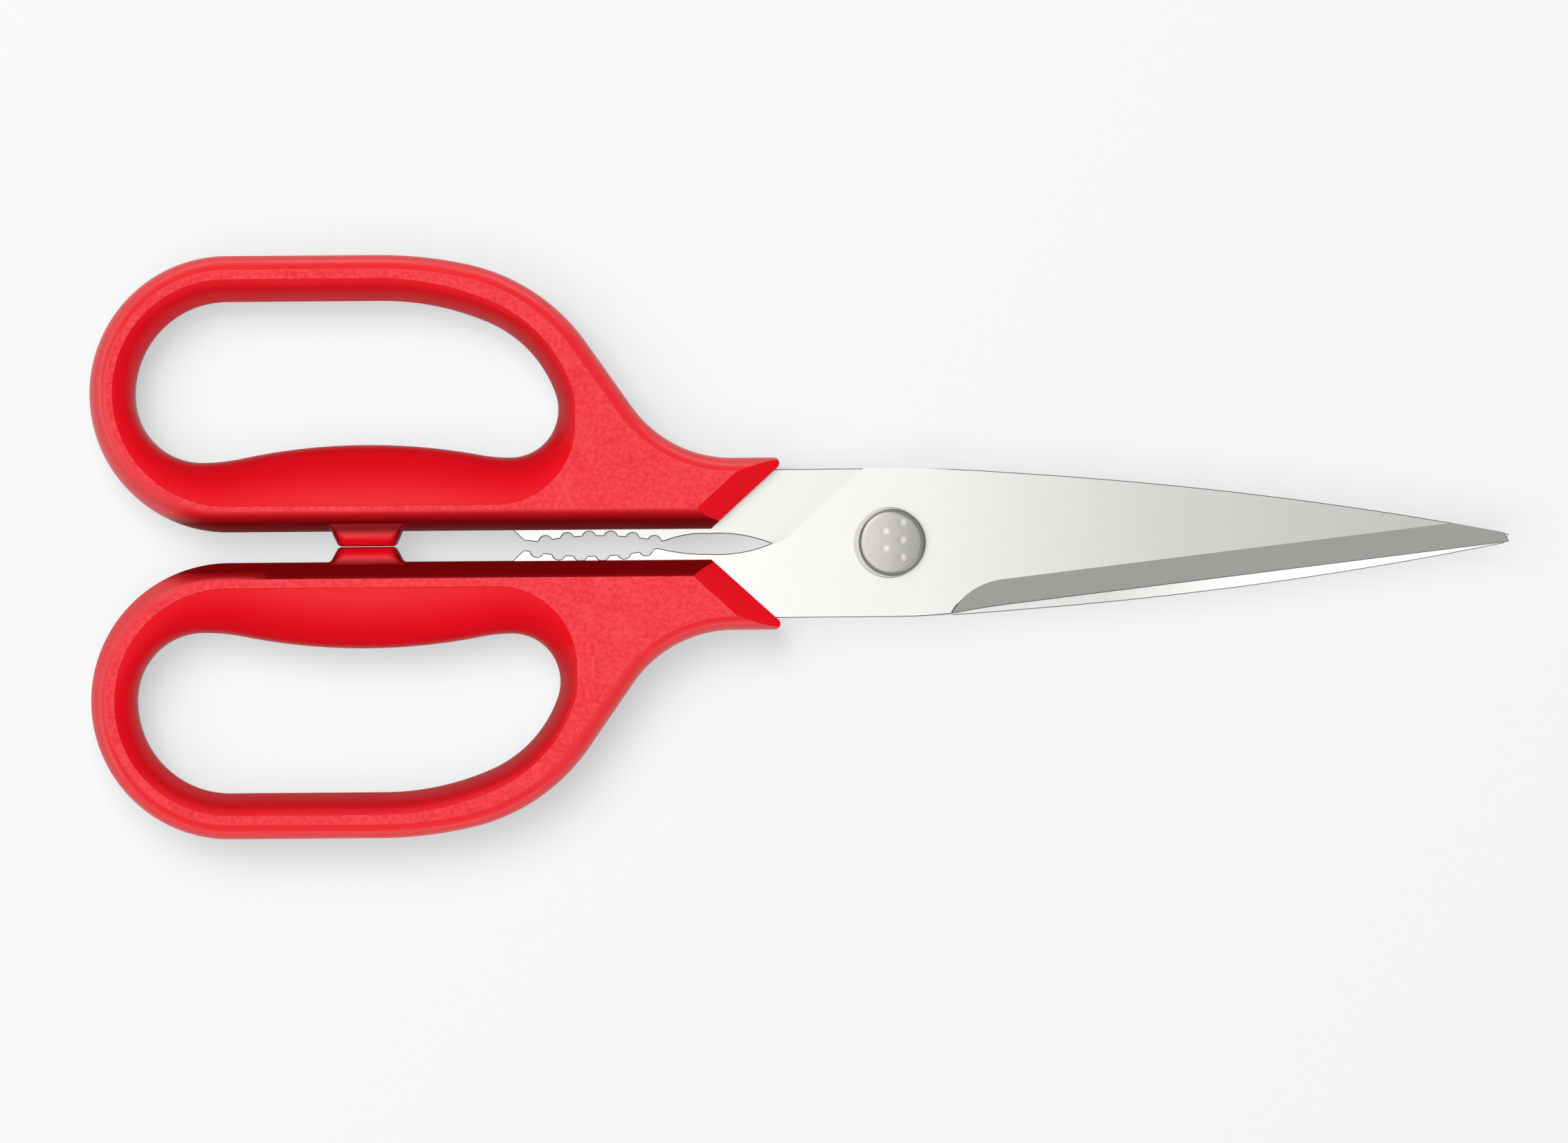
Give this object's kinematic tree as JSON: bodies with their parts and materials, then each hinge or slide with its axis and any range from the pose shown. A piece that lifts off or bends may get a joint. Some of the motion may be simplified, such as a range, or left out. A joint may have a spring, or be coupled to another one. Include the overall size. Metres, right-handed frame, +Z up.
{
  "type": "kitchen shears",
  "caption": "Straight-bladed kitchen and poultry shears with moulded finger-loop handles, toothed gripping jaws and a bottle-opener gap behind the pivot screw.",
  "frame": {"origin": "on the pivot axis, in the plane that the underside rests on", "axes": "+X towards the blades' tips, +Y towards the rear half's handle, +Z up through the screw's head"},
  "size_m": [0.2099, 0.0862, 0.0112],
  "materials": {
    "blade_steel": "fine brushed stainless, ground bevel",
    "handle_plastic": "satin red with a finely textured land",
    "pivot_steel": "satin, tumbled"
  },
  "bodies": {
    "rear_half": {"rear_blade": "blade_steel", "rear_handle": "handle_plastic", "pivot_screw": "pivot_steel", "head_washer": "pivot_steel", "nut_washer": "pivot_steel", "pivot_nut": "pivot_steel"},
    "front_half": {"front_blade": "blade_steel", "front_handle": "handle_plastic"}
  },
  "joints": [
    {"name": "pivot", "type": "hinge", "parent": "rear_half", "child": "front_half", "pos_m": [0, 0, 0.0056], "axis": [0, 0, 1], "range_deg": [0, 80]}
  ]
}
